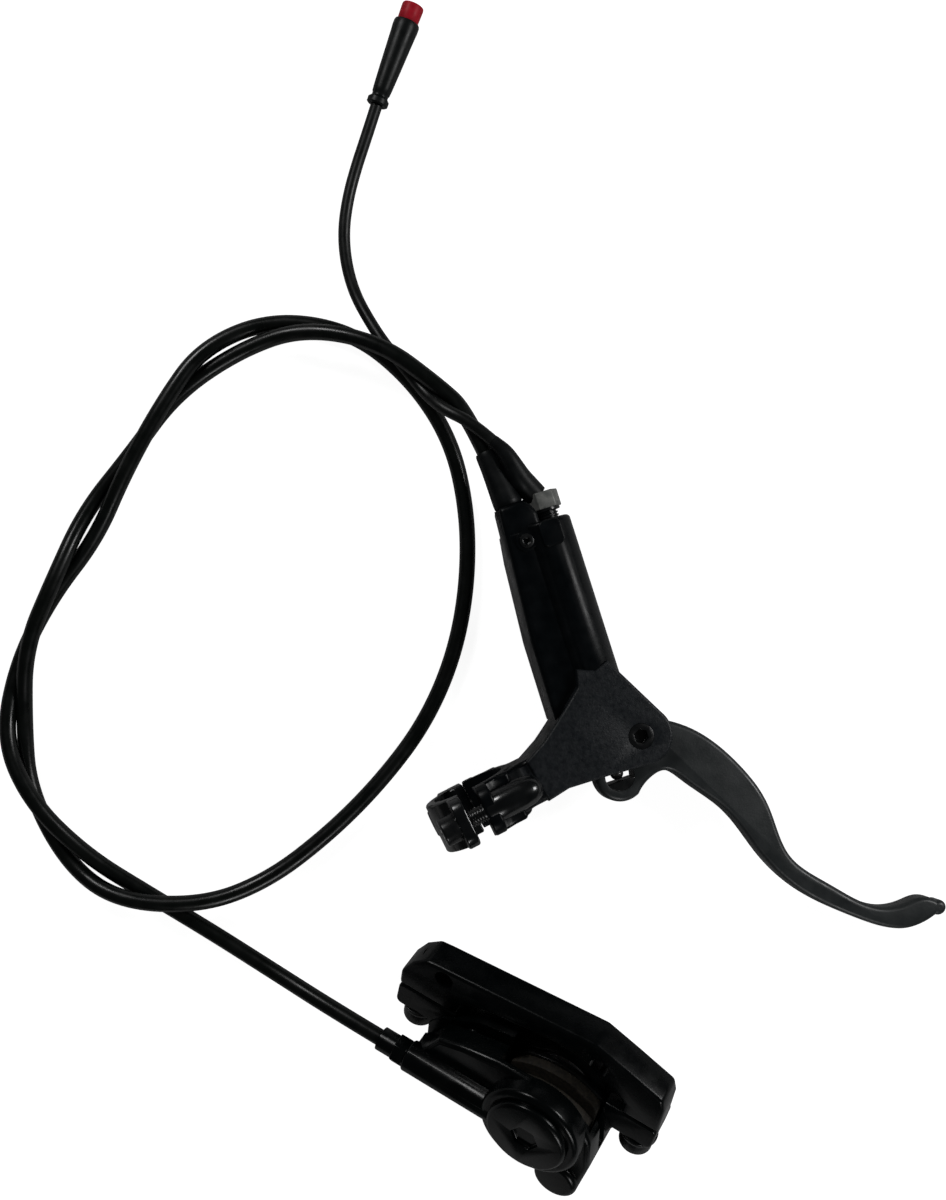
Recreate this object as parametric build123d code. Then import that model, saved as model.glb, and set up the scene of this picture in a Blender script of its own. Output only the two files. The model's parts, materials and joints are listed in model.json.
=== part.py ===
from build123d import *
import math
import os

# Hydraulic disc brake: lever with master cylinder, hose and caliper with its bracket.
# All lengths are millimetres. Each side is drawn in its own frame and then laid on the table.

# Handlebar clamp: bar axis along X, cap towards +Y, lever below it
BAR_D = 22.2
CLAMP_WIDTH = 15.2
CLAMP_WALL = 3.0
LUG_GAP = 4.8
LUG_GAP_Y = 0.3
LUG_BOLT_Z = 14.5
LUG_R = 4.4
CAP_LUG_T = 3.7
BODY_LUG_T = 3.8
CLAMP_BOLT_D = 5.0
CLAMP_HEAD_D = 8.5
CLAMP_HEAD_H = 5.0
CLAMP_KEY_AF = 4.0
BOLT_BOSS_L = 12.3

# Lever pivot frame: bore along +X, clamp towards +Y, hidden lid side towards -Z
BAR_X = -5.9
BAR_Y = 51.3
BORE_TO_BAR = 8.6
EAR_GAP = 9.4
EAR_TOP = 9.0
BODY_TOP = 5.8
PLATE_EDGE_R = 0.9
CAST_EDGE_R = 1.4
LID_BOTTOM = -11.6
LID_T = 1.8
LID_SCREW_D = 2.2
PIVOT_D = 6.0
PIVOT_HEAD_D = 7.8
PIVOT_HEAD_H = 1.8
PIVOT_KEY_AF = 4.0
BUSH_WALL = 1.0
BUSH_FLANGE = 0.6
BLADE_T = 8.0
BLADE_EDGE_R = 1.6
RUN_CLEARANCE = 0.05

# Master cylinder
BORE_Y = 7.0
BORE_D = 10.0
TUBE_D = 16.6
BORE_MOUTH_X = 10.0
BORE_END_X = 60.0
TUBE_END_X = 69.6
PISTON_X = 17.0
PISTON_L = 20.0
BALL_DEPTH = 1.5
RES_WALL = 2.0
RES_LEFT_Y = 21.8
RES_NEAR_X = 17.0
RES_FAR_X = 69.0
BLEED_D = 4.4
BLEED_X = 65.2
BLEED_Y = 14.6
PAD_X0 = 61.4
PAD_Y0 = 3.6
PAD_Y1 = 10.4

# Push rod and half-moon barrel in the lever's lobe
LOBE_X = -9.7
LOBE_Y = 8.7
BARREL_R = 4.5
BARREL_FLAT = 1.5
ROD_D = 4.0
ROD_BALL_D = 6.0

# Sensor, hose outlet and boot
SENSOR_Y = 5.0
SENSOR_AF = 9.0
SENSOR_THREAD_D = 7.0
SENSOR_HEX_X = 74.0
SENSOR_HEX_T = 4.6
PORT_Y = 15.4
PORT_TURN = 6.0
PORT_D = 9.6
PORT_END_X = 77.0
BOOT_D = 8.8
BOOT_TOP_D = 6.2
BOOT_L = 17.8
BOOT_WALL = 0.6
NUT_AF = 6.0
NUT_L = 7.0
HOSE_D = 5.0
HOSE_BORE_D = 2.3
CABLE_D = 3.7
SLEEVE_BIG_D = 5.6

# Caliper: X from bolt to bolt, Y towards the wheel axle, Z outboard from the disc's mid plane
POST_SPACING = 74.2
POST_Z = -7.5
POST_BOLT_D = 6.0
POST_HEAD_D = 10.0
POST_HEAD_H = 5.2
WASHER_T = 1.2
EAR_T = 9.0
EAR_HALF = 7.0
EAR_INNER = 9.1
CAL_EDGE_R = 1.6
CAL_HALF_T = 14.0
ROTOR_R = 80.0
ROTOR_SLOT = 3.6
ROTOR_CENTRE_Y = 61.5
ROTOR_RIM_GAP = 2.0
CYL_X = 10.5
CYL_Y = -8.0
CYL_R = 15.6
CAL_PISTON_D = 22.0
CAL_PISTON_L = 5.0
CAL_PISTON_CUP = 3.0
PAD_GAP = 3.2
PAD_LINING_T = 3.2
PAD_PLATE_T = 1.8
PAD_W = 30.0
PAD_TOP_Y = 1.0
PAD_BOTTOM_Y = -18.5
PAD_SIDE_GAP = 0.4
PAD_TRAVEL = 0.6
CAP_D = 25.0
CAP_T = 3.6
CAP_RECESS_AF = 7.6
CAP_RECESS = 1.2
HOSE_PORT_D = 9.6
HOSE_PORT_Y = -11.5
HOSE_PORT_Z = 9.6
HOSE_PORT_X = -31.5
FITTING_AF = 8.0
FITTING_L = 9.5
BODY_BOLT_D = 5.0
OUTER_PLATE_T = 9.0
CAL_BLEED_D = 5.6
CAL_BLEED_X = -16.0
CAL_BLEED_Y = -15.0
LEFT_BOLT = (-17.0, -3.0)
RIGHT_BOLT = (21.8, -26.6)
RIGHT_BOSS_R = 6.8
RIGHT_BOSS_TOP = 11.0
INNER_HALF_T = 10.0
SEAL_T = 2.0
SEAL_DEPTH = 1.2
SEAL_BACK = 2.4

# Bracket between the caliper and the frame's two tabs
BRACKET_T = 10.0
BRACKET_HOLE_D = 6.4
TAB_HOLE_LEFT = -30.4
TAB_HOLE_SPACING = 51.0
TAB_HOLE_Y = 12.8
END_LEFT = 6.8
END_RIGHT = 5.2
BRACKET_CHAMFER = 0.75

# Where the two halves lie on the table, and how they are turned
BAR_ON_TABLE = (1.8, -61.5)
BAR_HEADING = 116.05
LEVER_TILT = 7.75
CALIPER_ON_TABLE = (15.5, -142.2)
CALIPER_HEADING = -26.0
CALIPER_PITCH = 17.0
CALIPER_ROLL = 40.0
FIT_Y = 15.0
FIT_Z = 7.5

# Connector on the sensor cable
PLUG_D = 8.0
PLUG_NECK_D = 5.4
PLUG_L = 27.0
PLUG_RIB_PITCH = 1.7
INSERT_D = 6.2
INSERT_L = 5.0
INSERT_OUT = 6.2
PIN_D = 1.0

# The hose's corner points, from the boot to the caliper
HOSE_ROUTE = [
    (-9.4, 64.4, 11.9), (-28.5, 77.0, 13.0), (-51.7, 81.8, 8.3), (-71.3, 75.7, 4.1),
    (-91.2, 62.9, 2.5), (-105.3, 45.0, 2.6), (-119.7, 27.2, 2.5), (-127.0, 6.8, 9.5),
    (-135.6, -14.5, 8.7), (-137.4, -37.5, 2.7), (-136.0, -58.2, 2.6), (-124.4, -80.6, 2.5),
    (-107.4, -90.8, 8.7), (-82.6, -92.7, 6.8), (-63.1, -86.4, 2.9), (-43.7, -72.7, 2.5),
    (-27.2, -57.0, 2.5), (-13.3, -39.0, 2.5), (-4.4, -18.1, 2.5), (-1.1, 4.4, 2.5),
    (-1.7, 27.2, 2.5), (-6.7, 49.4, 2.5), (-19.3, 68.5, 2.5), (-37.7, 82.3, 2.5),
    (-61.7, 85.7, 2.5), (-82.2, 76.3, 6.0), (-93.8, 59.3, 8.9), (-106.1, 38.9, 8.2),
    (-116.0, 19.2, 2.5), (-129.9, 1.2, 2.6), (-140.4, -19.1, 2.5), (-143.9, -42.4, 5.7),
    (-134.1, -60.7, 9.4), (-118.2, -77.8, 5.0), (-99.9, -90.7, 2.5), (-80.4, -102.4, 2.5),
    (-61.0, -113.9, 4.9), (-41.9, -123.3, 13.1),
]

# The cable's corner points, from the connector to the sleeve
CABLE_ROUTE = [
    (-29.46, 152.05, 4.1), (-32.3, 142.4, 3.0), (-35.3, 133.0, 2.1), (-37.8, 123.5, 2.0),
    (-39.1, 113.7, 1.9), (-38.3, 103.9, 1.9), (-35.7, 94.4, 2.3), (-31.3, 85.8, 4.3),
    (-26.3, 77.7, 6.8), (-20.6, 69.7, 7.6), (-15.1, 61.7, 9.6), (-9.5, 56.2, 15.8),
    (-0.7, 52.3, 17.8), (7.2, 46.3, 17.2),
]

# The sleeve's middle line from the cable to the sensor
SLEEVE_MID = [(9.6, 44.0, 15.9), (12.2, 40.8, 14.4), (16.0, 36.0, 12.7)]


# Derived sizes
bar_r = BAR_D / 2
clamp_r = bar_r + CLAMP_WALL
cap_y = LUG_GAP_Y + LUG_GAP
lug_z = LUG_BOLT_Z + LUG_R
ear_in = EAR_GAP / 2
bore_r = BORE_D / 2
tube_r = TUBE_D / 2
pivot_r = PIVOT_D / 2
bush_in = pivot_r + RUN_CLEARANCE
bush_out = bush_in + BUSH_WALL
blade_half = BLADE_T / 2
post_x = POST_SPACING / 2
pad_half = PAD_GAP / 2
lining_back = pad_half + PAD_LINING_T
plate_back = lining_back + PAD_PLATE_T
ear_inner_x = post_x - EAR_INNER
left_end = -post_x - END_LEFT
right_end = post_x + END_RIGHT
pocket_half = plate_back + 0.2
cal_piston_r = CAL_PISTON_D / 2
pad_x0 = CYL_X - PAD_W / 2
pad_x1 = CYL_X + PAD_W / 2


def rod(radius, length, x, y, z, direction):
    # A round bar that starts at a point and runs along a direction
    plane = Plane(origin=(x, y, z), z_dir=direction)
    return plane * Cylinder(radius, length, align=(Align.CENTER, Align.CENTER, Align.MIN))


def cone(r0, r1, length, x, y, z, direction):
    plane = Plane(origin=(x, y, z), z_dir=direction)
    return plane * Cone(r0, r1, length, align=(Align.CENTER, Align.CENTER, Align.MIN))


def block(x0, x1, y0, y1, z0, z1):
    centre = ((x0 + x1) / 2, (y0 + y1) / 2, (z0 + z1) / 2)
    return Pos(*centre) * Box(x1 - x0, y1 - y0, z1 - z0)


def plate(points, z0, z1):
    # A flat plate of a corner outline in X and Y
    face = make_face(Polyline(*points, close=True))
    return Pos(0, 0, z0) * extrude(face, z1 - z0)


def round_rims(shape, radius, axis=Axis.Z, low=True):
    # Rounds the outline edges of the two end faces of a plate
    faces = shape.faces().sort_by(axis)
    rims = faces[-1].edges()
    if low:
        rims = rims + faces[0].edges()
    return fillet(rims, radius)


def grooved(shape, radius, depth, start, pitch, count, frame):
    # A row of grooves round a bar, as thread or ribs show
    for i in range(count):
        outer = Cylinder(radius + 1, pitch / 2)
        ring = outer - Cylinder(radius - depth, pitch)
        shape = shape - frame * Pos(0, 0, start + i * pitch) * ring
    return shape


def hex_bar(flats, length, x, y, z, direction):
    plane = Plane(origin=(x, y, z), z_dir=direction)
    outline = RegularPolygon(flats / 2, 6, major_radius=False)
    return plane * extrude(outline, length)


# Handlebar clamp, drawn about the bar

def lug_plate(y0, y1):
    # The full width tongue that carries both bolts, its ends rounded
    outline = RectangleRounded(CLAMP_WIDTH, 2 * lug_z, LUG_R)
    tongue = Plane(origin=(0, y0, 0), z_dir=(0, 1, 0), x_dir=(1, 0, 0)) * extrude(outline, y1 - y0)
    return round_rims(tongue, 0.7, Axis.Y)


def bar_hole():
    return rod(bar_r, 4 * CLAMP_WIDTH, -2 * CLAMP_WIDTH, 0, 0, (1, 0, 0))


def bolt_holes(y0, y1, radius):
    low = rod(radius, y1 - y0, 0, y0, -LUG_BOLT_Z, (0, 1, 0))
    high = rod(radius, y1 - y0, 0, y0, LUG_BOLT_Z, (0, 1, 0))
    return low + high


def ring_part(y0, y1):
    ring = rod(clamp_r, CLAMP_WIDTH, -CLAMP_WIDTH / 2, 0, 0, (1, 0, 0))
    ring = round_rims(ring, 0.8, Axis.X)
    return ring & block(-CLAMP_WIDTH, CLAMP_WIDTH, y0, y1, -2 * lug_z, 2 * lug_z)


def clamp_cap():
    # The cap is a half ring with a lug above and below
    cap = ring_part(cap_y, clamp_r) + lug_plate(cap_y, cap_y + CAP_LUG_T)
    cap = cap - bar_hole()
    cap = cap - bolt_holes(cap_y - 1, cap_y + CAP_LUG_T + 1, CLAMP_BOLT_D / 2 + 0.2)
    seats = bolt_holes(cap_y + CAP_LUG_T, clamp_r + 1, CLAMP_HEAD_D / 2 + 0.25)
    return cap - seats


def clamp_bolt(z):
    head_y = cap_y + CAP_LUG_T
    head = rod(CLAMP_HEAD_D / 2, CLAMP_HEAD_H, 0, head_y, z, (0, 1, 0))
    head = fillet(head.edges().sort_by(Axis.Y)[-1], 0.7)
    key = hex_bar(CLAMP_KEY_AF, CLAMP_HEAD_H, 0, head_y + CLAMP_HEAD_H / 2, z, (0, 1, 0))
    shank_l = LUG_GAP + CAP_LUG_T + BOLT_BOSS_L - 2
    shank = rod(CLAMP_BOLT_D / 2 - 0.02, shank_l, 0, head_y - shank_l, z, (0, 1, 0))
    thread = Plane(origin=(0, LUG_GAP_Y, z), z_dir=(0, 1, 0))
    shank = grooved(shank, CLAMP_BOLT_D / 2, 0.4, 0.5, 0.8, 6, thread)
    return head + shank - key


def clamp_half():
    # The half that is cast with the lever body, with a boss behind each bolt
    lug_y0 = LUG_GAP_Y - BODY_LUG_T
    half = ring_part(-clamp_r, LUG_GAP_Y) + lug_plate(lug_y0, LUG_GAP_Y)
    for z in (-LUG_BOLT_Z, LUG_BOLT_Z):
        boss = rod(LUG_R, BOLT_BOSS_L, 0, LUG_GAP_Y - BOLT_BOSS_L, z, (0, 1, 0))
        half = half + fillet(boss.edges().sort_by(Axis.Y)[0], 1.2)
    cheek = block(-CLAMP_WIDTH / 2, CLAMP_WIDTH / 2, LUG_GAP_Y - BOLT_BOSS_L + 1, LUG_GAP_Y - 1, -12.6, 12.6)
    return half + fillet(cheek.edges(), 1.2)


def arm():
    # The neck from the clamp down to the plates, drawn from the side, a step lower than they are
    side = [(-2, clamp_r - 1), (-10, 11.4), (-15, 7.4), (-21, 7.0), (-21, -7.0), (-15, -7.4), (-10, -11.4),
            (-2, -clamp_r + 1)]
    face = make_face(Polyline(*side, close=True))
    web = Plane(origin=(-6.4, 0, 0), x_dir=(0, 1, 0), z_dir=(1, 0, 0)) * extrude(face, 13.6)
    return round_rims(web, CAST_EDGE_R, Axis.X)


CLAMP_TO_LEVER = Pos(BAR_X, BAR_Y, 0) * Rot(0, 0, BORE_TO_BAR)
PORT_FRAME = Pos(PORT_END_X, PORT_Y, 0) * Rot(0, 0, PORT_TURN)


# Master cylinder body, drawn about the lever pivot

def ear_outline():
    # The outer plate: a rounded nose at the pivot, a step at the bore and the neck to the clamp
    line = Polyline((-8.7, 0), (-8.1, 13.2), (-7.9, 25.1), (-9.6, 31.9), (3.4, 34.9), (7.3, 28.3))
    curve = Spline((7.3, 28.3), (12.3, 22.0), (19.6, 13.6))
    step = Polyline((19.6, 13.6), (24.6, 12.4), (22.6, 7.1), (24.3, 2.7), (4.8, -8.2))
    nose = ThreePointArc((4.8, -8.2), (-4.3, -8.6), (-8.7, 0))
    return make_face(line + curve + step + nose)


def ears():
    whole = Pos(0, 0, -EAR_TOP) * extrude(ear_outline(), 2 * EAR_TOP)
    return round_rims(whole, PLATE_EDGE_R)


def lever_slot():
    # The open slot between the ears that the lever swings in
    slot = block(-20, BORE_MOUTH_X, -20, 21, -ear_in, ear_in)
    return slot


def reservoir():
    outline = make_face(Polyline((RES_NEAR_X, BORE_Y), (12.0, 22.4), (36.0, RES_LEFT_Y + 0.5),
                                 (61.0, 20.6), (RES_FAR_X, 19.6), (RES_FAR_X, BORE_Y - 1), close=True))
    box = Pos(0, 0, LID_BOTTOM + LID_T) * extrude(outline, BODY_TOP - LID_BOTTOM - LID_T)
    return round_rims(box, CAST_EDGE_R, low=False)


def reservoir_room():
    # The oil room, open towards the lid
    outline = make_face(Polyline((20.0, BORE_Y + tube_r + 0.6), (20.0, 20.0), (58.0, 18.6), (58.0, BORE_Y + tube_r + 0.6),
                                 close=True))
    return Pos(0, 0, LID_BOTTOM) * extrude(outline, BODY_TOP - LID_BOTTOM - RES_WALL)


def bore():
    hole = rod(bore_r, BORE_END_X - BORE_MOUTH_X + 1, BORE_MOUTH_X - 1, BORE_Y, 0, (1, 0, 0))
    drill = rod(SENSOR_THREAD_D / 2, TUBE_END_X, BORE_END_X - 1, SENSOR_Y, 0, (1, 0, 0))
    return hole + drill


def tube_pad():
    # The flat pad on top of the cylinder's far end
    land = block(PAD_X0, TUBE_END_X - 0.4, PAD_Y0, PAD_Y1, 0, tube_r + 0.3)
    land = fillet(land.edges().filter_by(Axis.Z), 1.8)
    return round_rims(land, 0.4, low=False)


def master_cylinder_body():
    tube = rod(tube_r, TUBE_END_X - BORE_MOUTH_X, BORE_MOUTH_X, BORE_Y, 0, (1, 0, 0))
    tube = fillet(tube.edges().sort_by(Axis.X)[-1], 1.2)
    port = PORT_FRAME * rod(PORT_D / 2, PORT_END_X - RES_FAR_X + 4, RES_FAR_X - PORT_END_X - 4, 0, 0, (1, 0, 0))
    bleed_boss = rod(BLEED_D / 2 + 0.9, BODY_TOP, BLEED_X, BLEED_Y, 0.6, (0, 0, 1))
    body = reservoir() + tube + port + tube_pad() + bleed_boss + ears()
    body = body + CLAMP_TO_LEVER * arm() + CLAMP_TO_LEVER * clamp_half()
    body = body - CLAMP_TO_LEVER * bar_hole()
    body = body - CLAMP_TO_LEVER * bolt_holes(LUG_GAP_Y - BOLT_BOSS_L + 1, LUG_GAP_Y + 1, CLAMP_BOLT_D / 2)
    body = body - lever_slot() - bore() - reservoir_room()
    body = body - rod(pivot_r, 4 * EAR_TOP, 0, 0, -2 * EAR_TOP, (0, 0, 1))
    body = body - rod(PIVOT_HEAD_D / 2, EAR_TOP, 0, 0, EAR_TOP - PIVOT_HEAD_H, (0, 0, 1))
    body = body - PORT_FRAME * rod(HOSE_BORE_D / 2, 18, -16, 0, 0, (1, 0, 0))
    body = body - PORT_FRAME * rod(NUT_AF / 2, 8, -6, 0, 0, (1, 0, 0))
    body = body - rod(BLEED_D / 2, 4, BLEED_X, BLEED_Y, BODY_TOP - 1.2, (0, 0, 1))
    for x, y in lid_screw_places():
        body = body - rod(1.1, 4, x, y, LID_BOTTOM, (0, 0, 1))
    return body


def pivot_bolt():
    top = EAR_TOP
    shaft = rod(pivot_r - 0.01, top - PIVOT_HEAD_H + EAR_TOP, 0, 0, -EAR_TOP, (0, 0, 1))
    head = rod(PIVOT_HEAD_D / 2 - 0.1, PIVOT_HEAD_H, 0, 0, top - PIVOT_HEAD_H, (0, 0, 1))
    key = hex_bar(PIVOT_KEY_AF, 4, 0, 0, top - PIVOT_HEAD_H - 0.6, (0, 0, 1))
    return shaft + head - key


def pivot_bush(side):
    sleeve = rod(bush_out, blade_half - 0.5, 0, 0, 0.5 if side > 0 else -blade_half, (0, 0, 1))
    flange_z = blade_half if side > 0 else -blade_half - BUSH_FLANGE
    flange = rod(bush_out + 1.6, BUSH_FLANGE, 0, 0, flange_z, (0, 0, 1))
    return sleeve + flange - rod(bush_in, 4 * BLADE_T, 0, 0, -2 * BLADE_T, (0, 0, 1))


def blade_outline():
    # The lever seen from above: hub and lobe, straight grip and hooked tip
    outer = Spline((3.6, -6.4), (-3.7, -17.5), (-15.3, -27.1), (-31.7, -33.1), (-48.0, -34.7), (-59.9, -43.7),
                   (-71.8, -57.7), (-72.8, -64.6), (-72.6, -68.3), (-75.6, -73.8))
    tip = ThreePointArc((-75.6, -73.8), (-78.4, -75.9), (-79.8, -72.0))
    inner = Spline((-79.8, -72.0), (-80.0, -61.5), (-72.0, -48.2), (-57.3, -33.1), (-44.4, -26.0), (-28.7, -19.8),
                   (-17.4, -10.2), (-12.4, -4.6), (-13.0, -0.7), (-16.6, 4.6))
    lobe = ThreePointArc((-16.6, 4.6), (-15.4, 13.4), (-8.0, 15.9))
    neck = Polyline((-8.0, 15.9), (-3.2, 10.6), (5.6, 4.4))
    hub = ThreePointArc((5.6, 4.4), (7.1, -0.9), (3.6, -6.4))
    return make_face(outer + tip + inner + lobe + neck + hub)


def lever_blade():
    blade = Pos(0, 0, -blade_half) * extrude(blade_outline(), BLADE_T)
    blade = round_rims(blade, BLADE_EDGE_R)
    blade = blade - rod(bush_out, 4 * BLADE_T, 0, 0, -2 * BLADE_T, (0, 0, 1))
    blade = blade - rod(BARREL_R, 4 * BLADE_T, LOBE_X, LOBE_Y, -2 * BLADE_T, (0, 0, 1))
    blade = blade - rod_slot()
    return blade


def rod_slot():
    # The slot through the lobe's rear wall that the push rod passes
    return block(LOBE_X, 4, LOBE_Y - 3.4, LOBE_Y + 4.6, -ROD_D / 2 - 0.6, ROD_D / 2 + 0.6)


def adjuster_barrel():
    barrel = rod(BARREL_R, BLADE_T, LOBE_X, LOBE_Y, -blade_half, (0, 0, 1))
    flat = block(LOBE_X - BARREL_FLAT, LOBE_X + 20, LOBE_Y - 20, LOBE_Y + 20, -BLADE_T, BLADE_T)
    return barrel - flat


def rod_start():
    # The rod's round end stands a hair off the barrel's flat
    return (LOBE_X - BARREL_FLAT + ROD_D / 2 + 2 * RUN_CLEARANCE, LOBE_Y, 0)


def ball_centre():
    return (PISTON_X + BALL_DEPTH, BORE_Y, 0)


def push_rod():
    # The rod leans a little from the barrel to the ball seat in the piston
    a = Vector(*rod_start())
    b = Vector(*ball_centre())
    line = b - a
    shaft = rod(ROD_D / 2, line.length, a.X, a.Y, a.Z, tuple(line))
    ball = Pos(b.X, b.Y, b.Z) * Sphere(ROD_BALL_D / 2)
    tip = Pos(a.X, a.Y, a.Z) * Sphere(ROD_D / 2)
    return shaft + ball + tip


def master_piston():
    body = rod(bore_r - RUN_CLEARANCE, 4.0, PISTON_X, BORE_Y, 0, (1, 0, 0))
    waist = rod(bore_r - 1.4, PISTON_L - 6, PISTON_X + 3, BORE_Y, 0, (1, 0, 0))
    land = rod(bore_r - RUN_CLEARANCE, 2.0, PISTON_X + PISTON_L - 5, BORE_Y, 0, (1, 0, 0))
    nose = rod(2.2, 4.0, PISTON_X + PISTON_L - 3, BORE_Y, 0, (1, 0, 0))
    seat = Pos(*ball_centre()) * Sphere(ROD_BALL_D / 2 + RUN_CLEARANCE)
    mouth = rod(ROD_BALL_D / 2 + 0.3, BALL_DEPTH + 1, PISTON_X - 1, BORE_Y, 0, (1, 0, 0))
    return body + waist + land + nose - seat - mouth


def cup_seal(x):
    ring = cone(bore_r - 0.2, bore_r - RUN_CLEARANCE, 2.2, x, BORE_Y, 0, (1, 0, 0))
    return ring - rod(bore_r - 1.4, 8, x - 2, BORE_Y, 0, (1, 0, 0))


def stop_washer():
    ring = rod(bore_r - 0.02, 0.8, PISTON_X - 1.0, BORE_Y, 0, (1, 0, 0))
    return ring - rod(3.9, 4, PISTON_X - 2.5, BORE_Y, 0, (1, 0, 0))


def dust_boot():
    # A thin rubber collar pressed in the bore's mouth round the rod
    ring = rod(bore_r - 0.02, 2.0, BORE_MOUTH_X + 0.3, BORE_Y, 0, (1, 0, 0))
    return ring - rod(bore_r - 0.7, 6, BORE_MOUTH_X - 1, BORE_Y, 0, (1, 0, 0))


def reservoir_lid():
    outline = make_face(Polyline((17.6, 13.4), (17.6, 21.0), (36.0, 21.2), (60.6, 19.8), (60.6, 13.4), close=True))
    lid = Pos(0, 0, LID_BOTTOM) * extrude(outline, LID_T)
    lid = fillet(lid.edges().filter_by(Axis.Z), 1.6)
    for x, y in lid_screw_places():
        lid = lid - rod(LID_SCREW_D / 2, 3 * LID_T, x, y, LID_BOTTOM - LID_T, (0, 0, 1))
        lid = lid - cone(LID_SCREW_D, LID_SCREW_D / 2, LID_SCREW_D / 2, x, y, LID_BOTTOM, (0, 0, 1))
    return lid


def lid_screw_places():
    return [(18.9, 17.4), (59.2, 16.4)]


def diaphragm():
    outline = make_face(Polyline((20.3, BORE_Y + tube_r + 0.9), (20.3, 19.7), (57.7, 18.3),
                                 (57.7, BORE_Y + tube_r + 0.9), close=True))
    return Pos(0, 0, LID_BOTTOM + LID_T) * extrude(outline, 1.0)


def lid_screw(x, y):
    # A countersunk screw, flush with the lid
    head = cone(LID_SCREW_D - 0.05, LID_SCREW_D / 2 - 0.02, LID_SCREW_D / 2, x, y, LID_BOTTOM, (0, 0, 1))
    shank = rod(LID_SCREW_D / 2 - 0.02, 3.4, x, y, LID_BOTTOM, (0, 0, 1))
    return head + shank - hex_bar(1.3, 0.7, x, y, LID_BOTTOM, (0, 0, 1))


def lever_bleed_screw():
    screw = rod(BLEED_D / 2 - 0.02, 2.2, BLEED_X, BLEED_Y, BODY_TOP - 1.2, (0, 0, 1))
    return screw - hex_bar(2.0, 1.2, BLEED_X, BLEED_Y, BODY_TOP - 0.1, (0, 0, 1))


def sensor_body():
    thread = rod(SENSOR_THREAD_D / 2 - 0.02, SENSOR_HEX_X - BORE_END_X - 1, BORE_END_X + 1, SENSOR_Y, 0, (1, 0, 0))
    neck = Plane(origin=(TUBE_END_X, SENSOR_Y, 0), z_dir=(1, 0, 0))
    thread = grooved(thread, SENSOR_THREAD_D / 2, 0.45, 0.6, 0.9, 4, neck)
    flange = rod(SENSOR_AF / 2, 0.8, SENSOR_HEX_X - 0.8, SENSOR_Y, 0, (1, 0, 0))
    head = hex_bar(SENSOR_AF, SENSOR_HEX_T, SENSOR_HEX_X, SENSOR_Y, 0, (1, 0, 0))
    crown = cone(SENSOR_AF / 2 + 2.2, SENSOR_AF / 2 - 0.2, SENSOR_HEX_T, SENSOR_HEX_X, SENSOR_Y, 0, (1, 0, 0))
    return thread + flange + (head & crown)


def compression_nut():
    nut = hex_bar(NUT_AF, NUT_L, 0, 0, 0, (1, 0, 0))
    thread = rod(NUT_AF / 2 - 0.02, 5.5, -5.5, 0, 0, (1, 0, 0))
    return PORT_FRAME * (nut + thread - rod(HOSE_D / 2, 60, -20, 0, 0, (1, 0, 0)))


def hose_boot():
    # The rubber boot tapers over the nut and closes round the hose
    shell = cone(BOOT_D / 2, BOOT_TOP_D / 2, BOOT_L, 0, 0, 0, (1, 0, 0))
    room = rod(NUT_AF / 2 + BOOT_WALL, NUT_L + 0.3, 0, 0, 0, (1, 0, 0))
    return PORT_FRAME * (shell - room - rod(HOSE_D / 2, 60, -20, 0, 0, (1, 0, 0)))


# Caliper, drawn about the disc's mid plane

def disc_slot():
    return Pos(0, ROTOR_CENTRE_Y, 0) * Cylinder(ROTOR_R + ROTOR_RIM_GAP, ROTOR_SLOT)


def pad_pocket():
    low = PAD_BOTTOM_Y - PAD_SIDE_GAP
    return block(pad_x0 - PAD_SIDE_GAP, pad_x1 + PAD_SIDE_GAP, low, 60, -pocket_half, pocket_half)


def outer_outline():
    # The half that faces out: flat shoulder at the left, rounded over the cylinder, bolt boss below
    line = Polyline((-27, -17.5), (-30.5, -15.5), (-30.5, -9.0), (-27.0, -5.5), (-24.0, 1.0), (-16.0, 4.0),
                    (-5.0, 6.5), (8.0, 6.8))
    shoulder = Spline((8.0, 6.8), (19.0, 3.6), (27.5, -5.5))
    right = Polyline((27.5, -5.5), (29.5, -16.0), (28.6, -27.0))
    boss = ThreePointArc((28.6, -27.0), (21.8, -33.4), (15.0, -28.0))
    under = Spline((15.0, -28.0), (2.0, -23.5), (-10.0, -18.5))
    close = Polyline((-10.0, -18.5), (-27, -17.5))
    return make_face(line + shoulder + right + boss + under + close)


def cylinder_dome(z0, z1):
    return Pos(CYL_X, CYL_Y, z0) * Cylinder(CYL_R, z1 - z0, align=(Align.CENTER, Align.CENTER, Align.MIN))


def body_bolt_places():
    return [LEFT_BOLT, RIGHT_BOLT]


def right_boss(z0, z1):
    x, y = RIGHT_BOLT
    boss = Pos(x, y, z0) * Cylinder(RIGHT_BOSS_R, z1 - z0, align=(Align.CENTER, Align.CENTER, Align.MIN))
    return boss


def seal_groove(side):
    # The square groove that holds the piston's seal
    z0 = plate_back + SEAL_BACK
    ring = Pos(CYL_X, CYL_Y, z0) * Cylinder(cal_piston_r + SEAL_DEPTH, SEAL_T,
                                            align=(Align.CENTER, Align.CENTER, Align.MIN))
    return ring if side > 0 else mirror(ring, Plane.XY)


def piston_seal(side):
    z0 = plate_back + SEAL_BACK + 0.02
    ring = Pos(CYL_X, CYL_Y, z0) * Cylinder(cal_piston_r + SEAL_DEPTH - 0.02, SEAL_T - 0.04,
                                            align=(Align.CENTER, Align.CENTER, Align.MIN))
    ring = ring - rod(cal_piston_r + 0.02, 20, CYL_X, CYL_Y, 0, (0, 0, 1))
    return ring if side > 0 else mirror(ring, Plane.XY)


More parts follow.
